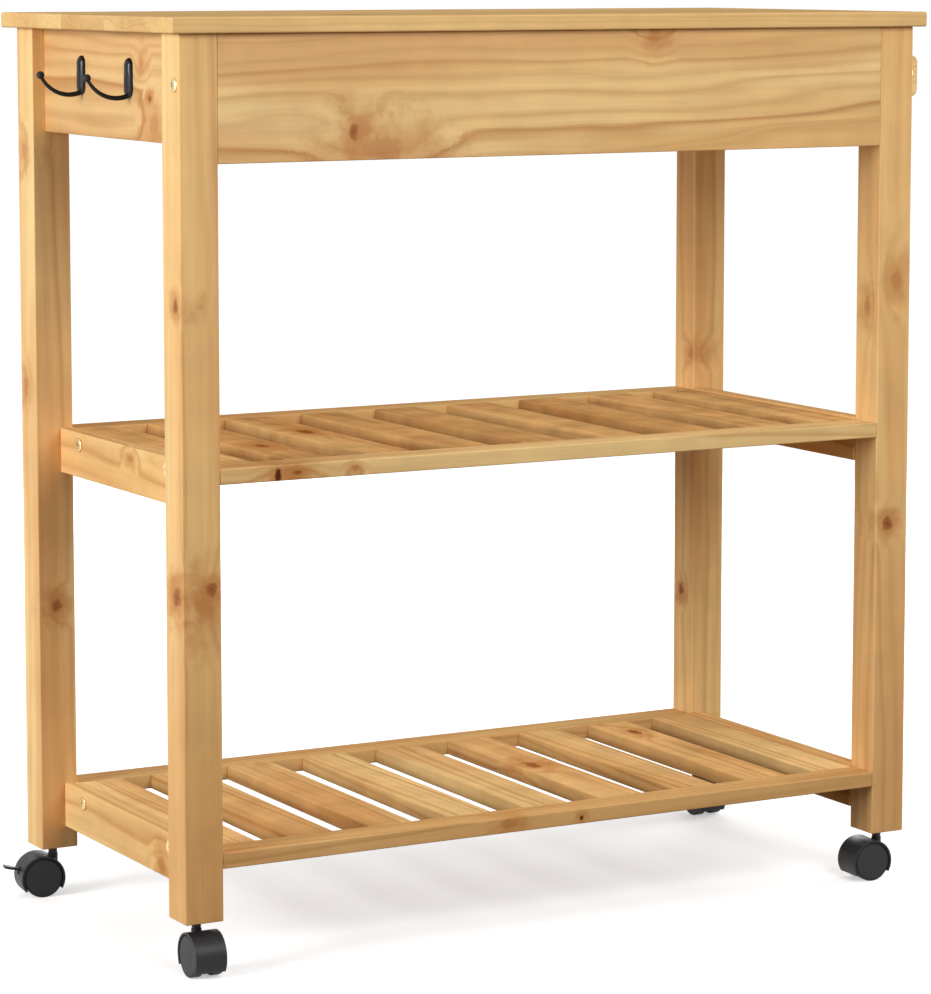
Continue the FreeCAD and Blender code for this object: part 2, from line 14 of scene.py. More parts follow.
import bpy
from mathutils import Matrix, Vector


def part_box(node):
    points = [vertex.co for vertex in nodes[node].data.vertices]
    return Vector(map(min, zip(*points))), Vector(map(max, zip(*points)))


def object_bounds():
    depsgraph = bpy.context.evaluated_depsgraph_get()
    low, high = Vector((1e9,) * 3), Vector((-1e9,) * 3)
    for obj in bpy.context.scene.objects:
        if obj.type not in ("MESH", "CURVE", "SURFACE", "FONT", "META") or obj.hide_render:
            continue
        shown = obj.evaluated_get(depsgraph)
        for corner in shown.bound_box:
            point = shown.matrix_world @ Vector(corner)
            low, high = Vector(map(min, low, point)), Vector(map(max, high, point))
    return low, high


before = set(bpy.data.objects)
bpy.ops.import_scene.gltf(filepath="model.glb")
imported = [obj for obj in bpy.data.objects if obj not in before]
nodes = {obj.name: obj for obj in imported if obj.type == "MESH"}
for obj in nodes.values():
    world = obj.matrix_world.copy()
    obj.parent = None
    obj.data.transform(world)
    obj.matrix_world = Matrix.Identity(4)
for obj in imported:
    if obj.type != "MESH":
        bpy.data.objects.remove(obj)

cad_low, cad_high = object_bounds()
middle = (cad_low + cad_high) / 2
print(len(nodes), "nodes; the cart measures", [round(v, 4) for v in cad_high - cad_low])

# %% [markdown]
# ## The camera
#
# Furniture is usually pictured from a little above and a few metres away with a long lens, so
# that the far legs are nearly as large as the near ones. The camera is placed by its direction
# and distance from the cart rather than by three coordinates, which keeps the framing easy to
# read and to change. Looking down makes upright legs lean together towards the floor. A small
# lens shift, like the shift of an architect's camera, takes part of that lean away.

# %% Camera
VIEW_AZIMUTH = -28.9  # degrees; the minus sign is towards the hook end
VIEW_ELEVATION = 6.56  # degrees
VIEW_DISTANCE = 3.85  # metres
VIEW_LENS = 136.5  # millimetres
VIEW_SHIFT = -0.10  # a share of the picture's longer side
AIM_OFFSET = Vector((0.001, 0.007, 0.057))  # metres from the middle of the cart


def direction(azimuth, elevation):
    """The unit vector from the cart towards a viewer; azimuth 0 stands on the -Y side."""
    turn, rise = math.radians(azimuth), math.radians(elevation)
    level = math.cos(rise)
    return Vector((math.sin(turn) * level, -math.cos(turn) * level, math.sin(rise)))


lens = bpy.data.cameras.new("camera")
lens.lens = VIEW_LENS
lens.shift_y = VIEW_SHIFT
camera = bpy.data.objects.new("camera", lens)
bpy.context.scene.collection.objects.link(camera)
towards_camera = direction(VIEW_AZIMUTH, VIEW_ELEVATION)
camera.location = middle + AIM_OFFSET + towards_camera * VIEW_DISTANCE
camera.rotation_mode = "QUATERNION"
camera.rotation_quaternion = (-towards_camera).to_track_quat("-Z", "Y")
bpy.context.scene.camera = camera
print("camera at", [round(v, 3) for v in camera.location])

# %% [markdown]
# ## Writing materials as sums
#
# A node material is a calculation that runs at each point of a surface. Drawn by hand it is a
# tangle of boxes, but most of the boxes only add and multiply. The class Field wraps one socket
# and gives it the arithmetic signs, so that a line of Python such as `0.4 + 0.1 * grain` adds the
# two Math nodes by itself. The class Finish is one material, and its method node() adds every
# other kind of node: it takes the node's type, its settings and the values or links of its sockets.


# %% Fields and finishes
class Field:
    """One socket of a material. Arithmetic on it adds Math nodes to the same material."""

    def __init__(self, finish, socket):
        self.finish = finish
        self.socket = socket

    def math(self, operation, *others):
        """This value through a Math node, with the other values as its further inputs."""
        return self.finish.maths(operation, self, *others)

    def __add__(self, other):
        return self.finish.maths("ADD", self, other)

    def __radd__(self, other):
        return self.finish.maths("ADD", other, self)

    def __sub__(self, other):
        return self.finish.maths("SUBTRACT", self, other)

    def __mul__(self, other):
        return self.finish.maths("MULTIPLY", self, other)

    def __rmul__(self, other):
        return self.finish.maths("MULTIPLY", other, self)

    def __truediv__(self, other):
        return self.finish.maths("DIVIDE", self, other)


def set_stops(ramp, stops):
    """Give a colour ramp its stops, each a position and a grey."""
    while len(ramp.elements) < len(stops):
        ramp.elements.new(1.0)
    for element, (position, grey) in zip(ramp.elements, stops):
        element.position = position
        element.color = (grey, grey, grey, 1.0)


class Finish:
    """One material, with short ways to add the nodes that it is made of."""

    def __init__(self, name):
        self.material = bpy.data.materials.new(name)
        self.material.use_nodes = True
        self.tree = self.material.node_tree
        self.tree.nodes.clear()

    def node(self, kind, settings, inputs, output=0):
        """Add a node: its settings first, then the values or links of its sockets."""
        made = self.tree.nodes.new(kind)
        for name, value in settings.items():
            if name == "stops":
                set_stops(made.color_ramp, value)
            else:
                setattr(made, name, value)
        for name, value in inputs.items():
            if isinstance(value, Field):
                self.tree.links.new(value.socket, made.inputs[name])
            else:
                made.inputs[name].default_value = value
        return Field(self, made.outputs[output]) if made.outputs else None

    def maths(self, operation, *values):
        """A Math node on numbers."""
        return self.node("ShaderNodeMath", {"operation": operation}, dict(enumerate(values)))

    def vector(self, operation, *values):
        """A Vector Math node on points or colours."""
        return self.node("ShaderNodeVectorMath", {"operation": operation}, dict(enumerate(values)))

    def length(self, value):
        """How far a point lies from the origin."""
        return self.node("ShaderNodeVectorMath", {"operation": "LENGTH"}, {0: value}, "Value")

    def dim(self, colour, share):
        """A colour times one number."""
        return self.node("ShaderNodeVectorMath", {"operation": "SCALE"},
                         {0: colour, "Scale": share})

    def lottery(self, ticket, output):
        """A random number or colour that is the same wherever the ticket is the same."""
        return self.node("ShaderNodeTexWhiteNoise", {"noise_dimensions": "1D"}, {"W": ticket},
                         output)

    def part(self, value, axis):
        """One of the three numbers of a point or a colour."""
        return self.node("ShaderNodeSeparateXYZ", {}, {0: value}, axis)

    def mix(self, share, first, second):
        """The first colour where share is 0, the second where it is 1."""
        return self.node("ShaderNodeMix", {"data_type": "RGBA"}, {0: share, 6: first, 7: second}, 2)

    def fade(self, value, start, end, low=0.0, high=1.0):
        """low up to start, high from end on, and a soft step between them."""
        return self.node("ShaderNodeMapRange", {"interpolation_type": "SMOOTHSTEP"},
                         {"Value": value, "From Min": start, "From Max": end,
                          "To Min": low, "To Max": high})

    def noise(self, place, scale, detail=1.0, output="Fac"):
        """Smooth noise, with scale as its number of features in a metre."""
        return self.node("ShaderNodeTexNoise", {},
                         {"Vector": place, "Scale": scale, "Detail": detail}, output)

    def ramp(self, value, stops):
        """A grey that follows the stops as the value goes from 0 to 1."""
        return self.node("ShaderNodeValToRGB", {"stops": stops}, {0: value})

    def place(self):
        """Where the point lies on the cart, in metres: it stays with the piece when that moves."""
        return self.node("ShaderNodeTexCoord", {}, {}, "Object")

    def surface(self, steady, varying):
        """Close the material: steady values are set on the shader, varying ones are linked."""
        shader = self.node("ShaderNodeBsdfPrincipled", {}, {**steady, **varying})
        self.node("ShaderNodeOutputMaterial", {}, {"Surface": shader})
        return self.material


print("helpers for materials are ready")

# %% [markdown]
# ## Lacquered pine
#
# A board shows its log. The log grew in rings about its pith, pale wood in spring and a thin dark
# line at the end of each year, and the saw cuts through those rings wherever the board happened
# to lie. An image of planks would show the same stripes on every face. Here the rings are worked
# out in three dimensions instead: the distance of a point from the pith gives its year, so the
# stripes of a face, its edge and its end meet at the corners as they do on sawn wood.
#
# The outer wood of a log, the sapwood, is straw yellow, and the heartwood inside it is browner.
# Each has three colours here, for the straw, honey and rose patches that a board drifts between,
# and a board is some mix of the two. Every board draws its own numbers from its own name, so no
# two boards match and every run gives the same cart.


# %% Colours of pine
def tint(red, green, blue):
    """A colour as seen on a screen, 0 to 255, turned into the linear values a shader works in."""
    linear = [((v / 255 + 0.055) / 1.055) ** 2.4 if v > 10 else v / 255 / 12.92
              for v in (red, green, blue)]
    return (*linear, 1.0)


SAPWOOD = [tint(241, 209, 148), tint(228, 183, 120), tint(216, 162, 104)]
HEARTWOOD = [tint(222, 176, 114), tint(200, 145, 87), tint(184, 121, 68)]
PINE_LATE = tint(178, 118, 62)
KNOT_HALO = tint(190, 126, 68)
KNOT_WOOD = tint(174, 102, 52)
KNOT_HEART = tint(112, 56, 28)
KNOT_DEAD = tint(50, 16, 10)
print("sapwood", [round(v, 3) for v in SAPWOOD[0][:3]], "heartwood",
      [round(v, 3) for v in HEARTWOOD[0][:3]])

# %% [markdown]
# A point is looked up in three ways: where it lies on the cart, where it lies from the middle of
# its board, and where it lies in the noise, far away for every board so that none shares a
# pattern. Noise that is shortened along the grain before it is looked up comes out drawn long, as
# grain is.
#
# Some boards stand in a row and share one node: the slats of a shelf, the staves of the worktop.
# A point's place along the row, divided by the spacing of the boards and rounded, is the number
# of its board, and a random colour drawn from that number gives each board its own piece of log.

# %% A board in its log
X, Y, Z = 0, 1, 2
NOISE_SPREAD = 9.0  # metres within which each board picks its place in the noise
ROW_SPREAD = (6.0, 7.0, 8.0)  # metres over which the boards of a row are spread in it
PITH_SPREAD = 0.07  # metres over which the piths of a row's boards are spread


class Wood(Finish):
    """The finish of one wooden node, which knows where its points lay in the tree."""

    def __init__(self, node, grain, from_pith, row):
        super().__init__("pine_" + node)
        self.chance = random.Random(node)
        self.grain = grain
        self.from_pith = from_pith
        self.across = [0.0 if axis == grain else 1.0 for axis in range(3)]
        low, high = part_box(node)
        self.here = self.place()
        self.local = self.vector("SUBTRACT", self.here, (low + high) / 2)
        start = [self.chance.uniform(-NOISE_SPREAD, NOISE_SPREAD) for _ in range(3)]
        self.lookup = self.vector("ADD", self.here, start)
        self.own = self.tell_apart(*row) if row else None

    def tell_apart(self, axis, spacing):
        """Give each board of a row its own place in the noise and its own log."""
        number = (self.part(self.here, axis) / spacing).math("ROUND")
        step = [0.0, 0.0, 0.0]
        step[axis] = -spacing
        self.local = self.vector("MULTIPLY_ADD", number, step, self.local)
        own = self.lottery(number + self.chance.uniform(3, 9), "Color")
        self.lookup = self.vector("MULTIPLY_ADD", own, ROW_SPREAD, self.lookup)
        centred = [v - PITH_SPREAD / 2 * a for v, a in zip(self.from_pith, self.across)]
        self.from_pith = self.vector("MULTIPLY_ADD", own, [PITH_SPREAD * a for a in self.across],
                                     centred)
        return own

    def drawn_out(self, share):
        """The place in the noise, shortened to that share along the grain."""
        return self.vector("MULTIPLY", self.lookup,
                           [share if a == 0 else 1.0 for a in self.across])


print("boards can be placed in their logs")

# %% [markdown]
# A knot is the root of a branch: a rod of darker, redder wood that runs into the board and tapers
# away inside it, with the rings of the trunk flowing round it. So a knot needs a place, the axis
# it runs along, a radius and a stretch along the grain. Distance from that rod, measured in its
# own radii, does three jobs: it paints the knot, it darkens a halo about it, and it pushes the
# rings aside. There are three kinds. A faint knot is only a warm shadow of a branch that ends
# below the surface, a sound one has a dark heart, and a dead one is bark-ringed and nearly black.


# %% Knots
KNOT_STOPS = [(0.0, 0.9), (0.35, 0.4), (0.7, 0.3), (0.9, 0.6), (1.0, 0.3)]
KNOT_TAPER = 0.45  # how fast a knot ends along its axis: 1 would make it a ball
KNOT_RAGGED = 1.3  # how uneven its edge is, in radii
HALO_RAGGED = 4.5  # and the edge of its halo
KNOT_KINDS = {  # how strong it is, the colour of its wood and the colour of its heart
    "faint": (0.4, KNOT_WOOD, KNOT_WOOD),
    "sound": (0.9, KNOT_WOOD, KNOT_HEART),
    "dead": (0.98, KNOT_HEART, KNOT_DEAD),
}


def nearest_knot(wood, knots):
    """The distance to the nearest knot, in radii of that knot."""
    found = None
    for spot, axis, radius, stretch in knots:
        weights = [1 / radius] * 3
        weights[wood.grain] = 1 / radius / stretch
        weights[axis] = KNOT_TAPER / radius
        away = wood.vector("MULTIPLY", wood.vector("SUBTRACT", wood.here, spot), weights)
        far = wood.length(away)
        found = far if found is None else found.math("MINIMUM", far)
    return found + KNOT_RAGGED * (wood.noise(wood.here, 160.0, 2.0) - 0.5)


def paint_knots(wood, colour, knots, kind):
    """The colour with knots of one kind and their halos painted over it."""
    strong, outer, core = KNOT_KINDS[kind]
    knot = nearest_knot(wood, knots)
    halo = knot + HALO_RAGGED * (wood.noise(wood.lookup, 50.0, 2.0) - 0.5)
    colour = wood.mix(wood.fade(halo, 0.8, 4.0, 0.4 + 0.3 * strong, 0.0), colour, KNOT_HALO)
    knot_wood = wood.mix(wood.ramp(knot, KNOT_STOPS), outer, core)
    return wood.mix(wood.fade(knot, 0.6, 1.3, strong, 0.0), colour, knot_wood)


print(len(KNOT_KINDS), "kinds of knot")

# %% [markdown]
# The rings need the distance from the pith. Noise drawn out along the grain bends them a little,
# a log leans a little from its board, and knots push them aside. Divided by the width of a year,
# the distance is a number whose whole part is the year and whose fraction is the season. The
# season goes through a ramp that rises slowly to the dark line and drops behind it, and a random
# strength for each year keeps the lines from looking ruled.


# %% Rings
YEAR_STOPS = [(0.0, 0.5), (0.22, 0.05), (0.5, 0.16), (0.85, 1.0), (1.0, 0.5)]
GRAIN_SHARE = 0.12  # how much the figure is drawn out along the grain
RING_WANDER = 0.026  # metres that the figure bends the rings
YEAR_WANDER = 1.2  # years that it moves them besides
LOG_LEAN = 0.03  # metres in a metre that a log leans from its board
KNOT_PUSH = 1.2  # years that a knot pushes the rings


def late_wood(wood, ring, knots):
    """1 in the dark line of a strong year, near 0 in early wood."""
    figure = wood.noise(wood.drawn_out(GRAIN_SHARE), 20.0, 2.0, "Color")
    radial = wood.vector("MULTIPLY_ADD", wood.local, wood.across, wood.from_pith)
    radial = wood.vector("MULTIPLY_ADD", figure, [RING_WANDER * a for a in wood.across], radial)
    lean = [wood.chance.uniform(-LOG_LEAN, LOG_LEAN) * a for a in wood.across]
    radial = wood.vector("MULTIPLY_ADD", wood.part(wood.local, wood.grain), lean, radial)
    growth = wood.length(radial) / ring + YEAR_WANDER * wood.part(figure, Z)
    if knots:
        growth = growth + wood.fade(nearest_knot(wood, knots), 0.6, 5.0, KNOT_PUSH, 0.0)
    strength = wood.lottery(growth.math("FLOOR"), "Value")
    return wood.ramp(growth.math("FRACT"), YEAR_STOPS) * (0.12 + 0.88 * strength * strength)


print("rings are ready")

# %% [markdown]
# The last step is the colour between the lines. Broad drawn-out noise lets it drift between
# straw, honey and rose. Fibres are very fine noise, drawn out forty times, and they also roughen
# the lacquer and raise the surface by a hair. The lacquer is thin and matt: its gloss is set once
# for each board, because a plain number belongs on the shader's own socket.


# %% Pine
FLOOR_HEIGHT, SHELF_HEIGHT = 0.05, 0.5  # metres between which the share of heartwood changes, as painted shade towards the floor
FIBRE_SHARE = 0.025  # how much the fibres are drawn out along the grain
BOARD_TONES = 0.2  # how far the boards of a row differ in tone


def clear_wood(wood, heart_and_floor_shade, lively):
    """The colour of the wood between its rings and knots."""
    # Painted shade: the share of heartwood rises from shelf height towards the floor, so lower
    # parts come out darker and browner as if less lit.
    heartwood_and_floor_shade = wood.fade(wood.part(wood.here, Z), FLOOR_HEIGHT, SHELF_HEIGHT, heart_and_floor_shade[1], heart_and_floor_shade[0])
    straw, honey, rose = [wood.mix(heartwood_and_floor_shade, sap, core) for sap, core in zip(SAPWOOD, HEARTWOOD)]
    grain = wood.drawn_out(GRAIN_SHARE)
    drift = wood.fade(wood.noise(grain, 8.0, 2.0), 0.3, 0.7, 0.5 - lively / 2, 0.5 + lively / 2)
    blush = wood.fade(wood.noise(grain, 17.0, 2.0), 0.45, 0.7, 0.0, 0.7 * lively)
    return wood.mix(blush, wood.mix(drift, honey, straw), rose)


def tone_and_gap_shade(wood, axis, lively, gap_shade):
    """The tone of each board of a row, with painted shade on the side faces between them."""
    tone = 1 + BOARD_TONES * lively * (wood.part(wood.own, Y) - 0.5)
    normal = wood.node("ShaderNodeTexCoord", {}, {}, "Normal")
    return tone * wood.fade(wood.part(normal, axis).math("ABSOLUTE"), 0.6, 0.9, 1.0, gap_shade)


def pine(node, grain, from_pith, ring=0.006, knots=(), faint=(), dead=(), row=None, tone=1.0,
         heart_and_floor_shade=(0.0, 0.4), bold=0.6, gloss=0.25, lively=1.0, mottle=0.2, gap_shade=1.0):
    """Give one node the finish of lacquered pine.

    grain is the axis that its log lay along. from_pith is where the middle of the board lay, in
    metres from the middle of its log, and ring is the width of a year. knots are sound ones, and
    faint and dead are the other two kinds. row is the axis and spacing of the boards, where
    several side by side share the node. tone makes the whole node lighter or darker, and
    heart_and_floor_shade is its share of heartwood at shelf height and at the floor, whose rise
    towards the floor is painted shade. bold is how strongly the rings show, gloss how much the
    lacquer mirrors, lively how far the colour drifts, mottle how strong its patches are and
    gap_shade the tone of the side faces between the boards of a row, which is painted shade.
    """
    wood = Wood(node, grain, from_pith, row)
    late = late_wood(wood, ring, [*knots, *faint, *dead])
    colour = wood.mix(bold * late, clear_wood(wood, heart_and_floor_shade, lively), PINE_LATE)
    curl = wood.noise(wood.lookup, 26.0, 2.0)
    thread = wood.drawn_out(FIBRE_SHARE)
    fibre = wood.noise(thread, 650.0, 2.0)
    streak = wood.noise(thread, 120.0, 2.0)
    # Painted shade: the side faces between the boards of a row are darkened through this tone.
    row_tone_and_shade = tone_and_gap_shade(wood, row[0], lively, gap_shade) if row else 1.0
    shade = 0.84 + 0.12 * fibre + mottle * (curl - 0.5) + 0.2 * streak
    colour = wood.dim(colour, shade * row_tone_and_shade * tone)
    for spots, kind in ((faint, "faint"), (knots, "sound"), (dead, "dead")):
        if spots:
            colour = paint_knots(wood, colour, spots, kind)
    relief = wood.node("ShaderNodeBump", {}, {"Height": 0.5 * late + 0.5 * fibre,
                                              "Strength": 0.3, "Distance": 0.0003})
    steady = {"Specular IOR Level": gloss}
    varying = {"Base Color": colour, "Roughness": 0.46 + 0.16 * fibre, "Normal": relief}
    nodes[node].material_slots[0].material = wood.surface(steady, varying)


print("pine is ready")

# %% [markdown]
# ## The legs
#
# The legs are square posts, sawn from small logs, so the pith lies a few centimetres outside each
# of them and the rings show as long upright lines. Posts are cut from what the sawmill has, so
# the four differ in tone and in heartwood. All of them darken and brown towards the floor, which
# is painted shade: their share of heartwood is raised there. A branch crosses a post now and
# then. The knots sit on the outer faces, sound ones first, and then the faint ones that barely
# reach the surface.

# %% Legs
leg_knots = {
    "back_leg_hook_end": [((-0.409, -0.184, 0.632), X, 0.0048, 1.3),
                          ((-0.409, -0.183, 0.361), X, 0.009, 1.0),
                          ((-0.381, -0.197, 0.368), Y, 0.006, 1.0)],
    "front_leg_hook_end": [((-0.391, 0.152, 0.301), Y, 0.0055, 1.2)],
    "back_leg_rail_end": [((0.384, -0.197, 0.375), Y, 0.0055, 1.2)],
    "front_leg_rail_end": [((0.370, 0.176, 0.253), X, 0.005, 1.2)],
}
leg_shadows = {
    "front_leg_hook_end": [((-0.409, 0.176, 0.761), X, 0.006, 1.5),
                           ((-0.409, 0.179, 0.524), X, 0.006, 1.5)],
    "back_leg_hook_end": [((-0.388, -0.197, 0.352), Y, 0.009, 1.6)],
    "back_leg_rail_end": [((0.370, -0.177, 0.598), X, 0.005, 2.0),
                          ((0.392, -0.197, 0.625), Y, 0.007, 1.6)],
    "front_leg_rail_end": [((0.370, 0.160, 0.520), X, 0.005, 1.2)],
}
# Each leg's share of heartwood is given at shelf height and at the floor; its rise towards the
# floor is painted shade.
leg_looks = {
    "back_leg_hook_end": {"heart_and_floor_shade": (0.1, 1.1), "tone": 1.06},
    "front_leg_hook_end": {"heart_and_floor_shade": (0.0, 0.3), "tone": 1.10},
    "back_leg_rail_end": {"heart_and_floor_shade": (0.1, 0.4), "tone": 1.12},
    "front_leg_rail_end": {"tone": 1.14},
}
for node, knots in leg_knots.items():
    chance = random.Random("log of " + node)
    from_pith = (chance.uniform(0.04, 0.09), chance.uniform(0.02, 0.07), 0.0)
    pine(node, Z, from_pith, ring=0.013, knots=knots, faint=leg_shadows.get(node, ()), bold=0.45,
         gloss=0.15, **leg_looks[node])
print(len(leg_knots), "legs")

# %% [markdown]
# ## Worktop, apron and end panels
#
# A wide board comes from nearer the middle of a bigger log, so its rings open out on the face
# into long flames. The worktop is wider than any pine board: it is glued from staves side by
# side, and each stave has its own tone and its own run of grain. The staves are cut flat, far
# from the pith, so their rings lie nearly level. The apron has the one large knot, with a patch
# of faint ones round it, and the end panel over the hooks is full of heartwood.

# %% Top frame
STAVE_WIDTH = 0.105  # metres
pine("top_board", X, (0.0, 0.02, -0.16), ring=0.005, row=(Y, STAVE_WIDTH), bold=0.35, gloss=0.0,
     lively=0.6, tone=0.965, heart_and_floor_shade=(0.15, 0.15), dead=[((-0.322, -0.214, 0.896), Y, 0.0012, 1.5)],
     knots=[((-0.20, -0.13, 0.898), Z, 0.008, 1.4), ((0.27, 0.06, 0.898), Z, 0.007, 1.4),
            ((0.05, 0.15, 0.898), Z, 0.006, 1.4)])
pine("back_apron", X, (0.0, 0.055, 0.06), ring=0.0115, bold=0.85,
     knots=[((-0.231, -0.197, 0.790), Y, 0.0075, 0.6)],
     faint=[((-0.222, -0.197, 0.790), Y, 0.011, 1.0), ((-0.200, -0.197, 0.774), Y, 0.012, 1.8),
            ((0.100, -0.197, 0.876), Y, 0.008, 1.0)])
pine("end_panel_hook_end", Y, (0.05, 0.0, 0.02), ring=0.010, bold=1.0, heart_and_floor_shade=(0.5, 0.5),
     faint=[((-0.396, -0.083, 0.852), X, 0.006, 1.0), ((-0.396, -0.112, 0.796), X, 0.010, 1.0)],
     knots=[((-0.396, -0.102, 0.821), X, 0.0035, 1.3)])
pine("end_panel_rail_end", Y, (-0.05, 0.0, -0.02), ring=0.007,
     knots=[((0.396, 0.050, 0.820), X, 0.007, 1.3)])
pine("drawer_rail", X, (0.0, -0.03, 0.02))
pine("drawer_divider", Y, (0.05, 0.0, 0.02))
pine("centre_runner", Y, (0.02, 0.0, -0.06))
for end in ("hook", "rail"):
    pine(f"drawer_runner_{end}_end", Y, (0.03, 0.0, -0.05))
print("top frame is pine")

# %% [markdown]
# ## Shelves
#
# The slats of a shelf share one node and stand in a row, so their material needs the spacing of
# the row. It is read from the model, as the step between the middles of two neighbouring slats.
# A slat's X coordinates come close together, and the gap to the next slat is wider than any step
# within a slat, so the gaps tell the slats apart.


# %% Spacing of the slats
NARROWEST_GAP, NARROWEST_SLAT = 0.03, 0.04  # metres


def slat_middles(node):
    """The middle of each slat along X, found from the gaps between them."""
    places = sorted({round(v.co.x, 4) for v in nodes[node].data.vertices})
    middles, first = [], places[0]
    for here, following in zip(places, places[1:] + [places[-1] + 1]):
        if following - here > NARROWEST_GAP and here - first > NARROWEST_SLAT:
            middles.append((first + here) / 2)
            first = following
    return middles


for shelf in ("lower", "middle"):
    print(shelf, "shelf slats at", [round(v, 3) for v in slat_middles(f"{shelf}_shelf_slats")])

# %% [markdown]
# The knots of the shelves sit on the upper faces of a few slats and on the outer faces of the
# rails, and each shelf has a dead one on its back rail. Each knot is written as its place on the
# cart, the axis it runs along, its radius and its stretch along the grain. Kept in tables by the
# name of the node, they stay out of the loop that makes the shelves.

# %% Knots of the shelves
shelf_knots = {
    "middle_shelf_back_rail": [((-0.291, -0.197, 0.472), Y, 0.0024, 2.0)],
    "middle_shelf_slats": [((0.300, -0.090, 0.480), Z, 0.006, 2.0),
                           ((-0.175, 0.020, 0.480), Z, 0.008, 2.0),
                           ((-0.262, -0.060, 0.480), Z, 0.006, 2.0)],
    "lower_shelf_slats": [((0.080, 0.005, 0.116), Z, 0.007, 2.0),
                          ((0.262, 0.100, 0.116), Z, 0.006, 2.0)],
}
dead_knots = {
    "middle_shelf_back_rail": [((-0.311, -0.197, 0.470), Y, 0.0075, 0.5)],
    "lower_shelf_back_rail": [((0.020, -0.197, 0.107), Y, 0.0028, 1.0)],
}
shelf_shadows = {
    "middle_shelf_back_rail": [((-0.297, -0.197, 0.470), Y, 0.0055, 2.0),
                               ((-0.230, -0.197, 0.472), Y, 0.003, 1.2)],
    "lower_shelf_back_rail": [((-0.062, -0.197, 0.110), Y, 0.005, 1.8)],
    "lower_shelf_end_rail_hook_end": [((-0.3835, -0.085, 0.082), X, 0.008, 1.0)],
    "middle_shelf_end_rail_hook_end": [((-0.3835, -0.020, 0.470), X, 0.004, 1.6)],
}
print(len(shelf_knots) + len(dead_knots) + len(shelf_shadows), "groups of knots on the shelves")

# %% [markdown]
# The shelves are plainer wood than the top. The slats of the middle shelf are nearly all
# heartwood, browner and more mottled than those of the lower one. The side faces of the slats,
# in the gaps between them, are made darker as painted shade. The rails are mostly sapwood. None
# of it mirrors: seen along its surface, even a little gloss would pale it. Both shelves are built
# alike, so one loop finishes the slats, the two long rails and the two end rails of each.

# %% Shelves
# The tone of the side faces between the slats is painted shade.
SLAT_LOOKS = {
    "lower_shelf": {"heart_and_floor_shade": (0.0, 0.3), "bold": 0.7, "mottle": 0.45, "gap_shade": 0.85, "tone": 1.03},
    "middle_shelf": {"heart_and_floor_shade": (0.75, 0.75), "bold": 0.6, "lively": 0.6, "mottle": 0.8,
                     "gap_shade": 0.8, "tone": 1.02},
}
for shelf in ("lower_shelf", "middle_shelf"):
    middles = slat_middles(f"{shelf}_slats")
    centre = len(middles) // 2
    spacing = middles[centre + 1] - middles[centre]
    pine(f"{shelf}_slats", Y, (0.0, 0.0, -0.03), ring=0.009, row=(X, spacing),
         knots=shelf_knots[f"{shelf}_slats"], gloss=0.0, **SLAT_LOOKS[shelf])
    for side in ("back", "front"):
        node = f"{shelf}_{side}_rail"
        pine(node, X, (0.0, 0.03, -0.04), ring=0.009, knots=shelf_knots.get(node, ()),
             dead=dead_knots.get(node, ()), faint=shelf_shadows.get(node, ()),
             heart_and_floor_shade=(0.15, 0.4), gloss=0.0)
    for end in ("hook", "rail"):
        node = f"{shelf}_end_rail_{end}_end"
        pine(node, Y, (0.05, 0.0, -0.04), ring=0.010, faint=shelf_shadows.get(node, ()),
             heart_and_floor_shade=(0.0, 0.2), tone=1.08, gloss=0.0)
print("two shelves of", len(middles), "slats")

# %% [markdown]
# ## Drawers and towel rail
#
# The drawer fronts run on from each other like one board cut in two. The knobs are turned, so
# their grain runs through them towards the drawer. The drawer bottoms are thin plywood: paler,
# unlacquered, with the even figure of peeled veneer, which the same rings give when the pith is
# put far away and the years are wide.

# %% Drawers and towel rail
for end in ("hook", "rail"):
    drawer = f"{end}_end_drawer"
    pine(f"{drawer}_front", X, (0.0, -0.045, 0.02), ring=0.0065)
    for part in ("outer_side", "inner_side"):
        pine(f"{drawer}_{part}", Y, (0.05, 0.0, 0.03))
    pine(f"{drawer}_back", X, (0.0, 0.05, 0.03))
    pine(f"{drawer}_bottom", X, (0.0, 0.02, -0.35), ring=0.011, tone=1.06)
    pine(f"{drawer}_knob", Y, (0.01, 0.0, 0.012), ring=0.0035)
pine("towel_bar", Y, (0.012, 0.0, 0.008), ring=0.004)
for side in ("back", "front"):
    pine(f"towel_bracket_{side}", X, (0.0, 0.03, 0.01), ring=0.005)
print("drawers and towel rail are pine")

# %% [markdown]
# ## Moulded plastic, iron and plated steel
#
# The castors are nylon, moulded nearly black. Moulded plastic is never perfectly smooth: the
# mould was spark-eroded to a fine leathery texture, and handling polishes it in patches. A fine
# noise in the bump and a broad one in the roughness say both. The wheels are a shade lighter than
# the hoods, with a blacker tyre that starts at about nine tenths of the radius. Distance from the
# wheel's middle finds it, so each wheel has a finish of its own.


# %% Castor plastic
TYRE = tint(7, 7, 7)
TYRE_START, TYRE_END = 0.89, 0.94  # shares of the radius
WORN = 10  # how much lighter worn plastic is, of 255


